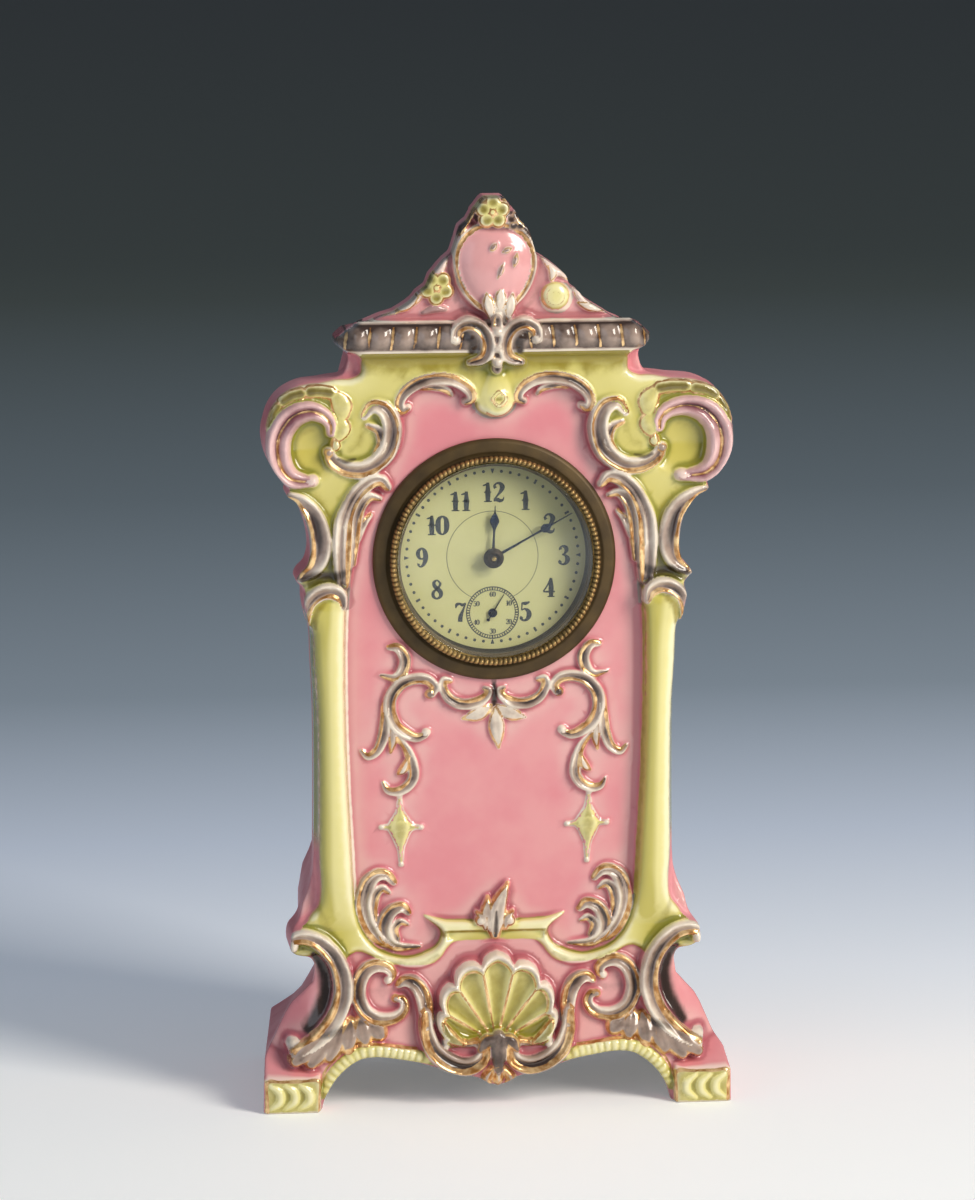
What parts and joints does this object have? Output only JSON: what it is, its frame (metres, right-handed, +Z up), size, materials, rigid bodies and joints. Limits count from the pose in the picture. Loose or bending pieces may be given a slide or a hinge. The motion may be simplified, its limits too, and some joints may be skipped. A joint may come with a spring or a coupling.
{
  "type": "mantel clock",
  "caption": "Glazed ceramic mantel clock with scrolled shoulders, shell foot and pediment, and a small round back-wound balance movement behind a flat glass.",
  "frame": {"origin": "middle of the footprint on the floor", "axes": "+Z up, the dial looks along -Y, +X to the right as seen from the front"},
  "size_m": [0.1216, 0.066, 0.2368],
  "materials": {
    "porcelain": "gloss glaze in pink, yellow-green and lilac-grey with gilded lines",
    "bronze": "dull dark bronze",
    "gilt_brass": "bright gilt",
    "glass": "clear flat glass",
    "dial_paper": "cream printed dial",
    "brass": "lacquered brass",
    "steel": "polished steel",
    "blued_steel": "dark blued steel"
  },
  "bodies": {
    "case": {"porcelain_case": "porcelain", "bezel_flange": "bronze", "rope_ring": "gilt_brass", "glass": "glass", "sight_ring": "gilt_brass", "dial": "dial_paper", "drum": "brass", "dust_cover": "brass", "rear_ring": "brass", "strap_left": "brass", "strap_right": "brass", "strap_screw_left": "steel", "strap_screw_right": "steel", "front_plate": "brass", "back_plate": "brass", "pillar_1": "brass", "pillar_nut_1": "steel", "pillar_2": "brass", "pillar_nut_2": "steel", "pillar_3": "brass", "pillar_nut_3": "steel", "pillar_4": "brass", "pillar_nut_4": "steel", "dial_foot_1": "brass", "dial_foot_2": "brass", "hairspring": "steel", "mainspring": "steel"},
    "minute_group": {"centre_arbor": "steel", "cannon_pinion": "steel", "set_knob": "brass", "minute_hand": "blued_steel", "hand_nut": "blued_steel"},
    "hour_group": {"hour_wheel": "brass", "hour_hand": "blued_steel"},
    "minute_wheel_group": {"minute_wheel": "brass"},
    "fourth_group": {"fourth_arbor": "steel", "fourth_wheel": "brass", "seconds_hand": "blued_steel"},
    "third_group": {"third_arbor": "steel", "third_wheel": "brass"},
    "centre_group": {"centre_pinion": "steel", "centre_wheel": "brass"},
    "escape_group": {"escape_arbor": "steel", "escape_wheel": "brass"},
    "pallet_group": {"pallet_arbor": "steel", "pallet_lever": "steel"},
    "balance_group": {"balance_staff": "steel", "balance_wheel": "brass"},
    "winding_group": {"winding_arbor": "steel", "ratchet_wheel": "steel", "winding_key": "brass"},
    "great_group": {"great_wheel": "brass"},
    "click_group": {"click": "steel"},
    "regulator_group": {"regulator": "steel"}
  },
  "joints": [
    {"name": "minute_turn", "type": "hinge", "parent": "case", "child": "minute_group", "pos_m": [0, 0, 0.1425], "axis": [0, 1, 0], "continuous": true},
    {"name": "hour_turn", "type": "hinge", "parent": "case", "child": "hour_group", "pos_m": [0, 0, 0.1425], "axis": [0, 1, 0], "continuous": true},
    {"name": "minute_wheel_turn", "type": "hinge", "parent": "case", "child": "minute_wheel_group", "pos_m": [-0.008, 0, 0.1425], "axis": [0, 1, 0], "continuous": true},
    {"name": "seconds_turn", "type": "hinge", "parent": "case", "child": "fourth_group", "pos_m": [0, 0, 0.1281], "axis": [0, 1, 0], "continuous": true},
    {"name": "third_turn", "type": "hinge", "parent": "case", "child": "third_group", "pos_m": [0.00727, 0, 0.13451], "axis": [0, 1, 0], "continuous": true},
    {"name": "centre_turn", "type": "hinge", "parent": "case", "child": "centre_group", "pos_m": [0, 0, 0.1425], "axis": [0, 1, 0], "continuous": true},
    {"name": "escape_turn", "type": "hinge", "parent": "case", "child": "escape_group", "pos_m": [-0.00913, 0, 0.13142], "axis": [0, 1, 0], "continuous": true},
    {"name": "great_turn", "type": "hinge", "parent": "case", "child": "great_group", "pos_m": [0.00331, 0, 0.15486], "axis": [0, 1, 0], "continuous": true},
    {"name": "winding", "type": "hinge", "parent": "case", "child": "winding_group", "pos_m": [0.00331, 0, 0.15486], "axis": [0, -1, 0], "range_deg": [0, 1890]},
    {"name": "click_lift", "type": "hinge", "parent": "great_group", "child": "click_group", "pos_m": [0.01008, 0, 0.15733], "axis": [0, 1, 0], "range_deg": [0, 12], "stiffness_Nm_per_rad": 0.000001},
    {"name": "pallet_rock", "type": "hinge", "parent": "case", "child": "pallet_group", "pos_m": [-0.01275, 0, 0.13659], "axis": [0, 1, 0], "range_deg": [-5, 5]},
    {"name": "balance_swing", "type": "hinge", "parent": "case", "child": "balance_group", "pos_m": [-0.01583, 0, 0.14504], "axis": [0, 1, 0], "range_deg": [-140, 140], "stiffness_Nm_per_rad": 0.0000035},
    {"name": "regulator_turn", "type": "hinge", "parent": "case", "child": "regulator_group", "pos_m": [-0.01583, 0, 0.14504], "axis": [0, 1, 0], "range_deg": [-25, 25]}
  ],
  "couplings": [
    {"joint": "hour_turn", "follows": "minute_turn", "ratio": 0.083333},
    {"joint": "minute_wheel_turn", "follows": "minute_turn", "ratio": -0.33333},
    {"joint": "third_turn", "follows": "seconds_turn", "ratio": -0.13333},
    {"joint": "centre_turn", "follows": "seconds_turn", "ratio": 0.016667},
    {"joint": "great_turn", "follows": "seconds_turn", "ratio": -0.002381},
    {"joint": "escape_turn", "follows": "seconds_turn", "ratio": -8}
  ]
}
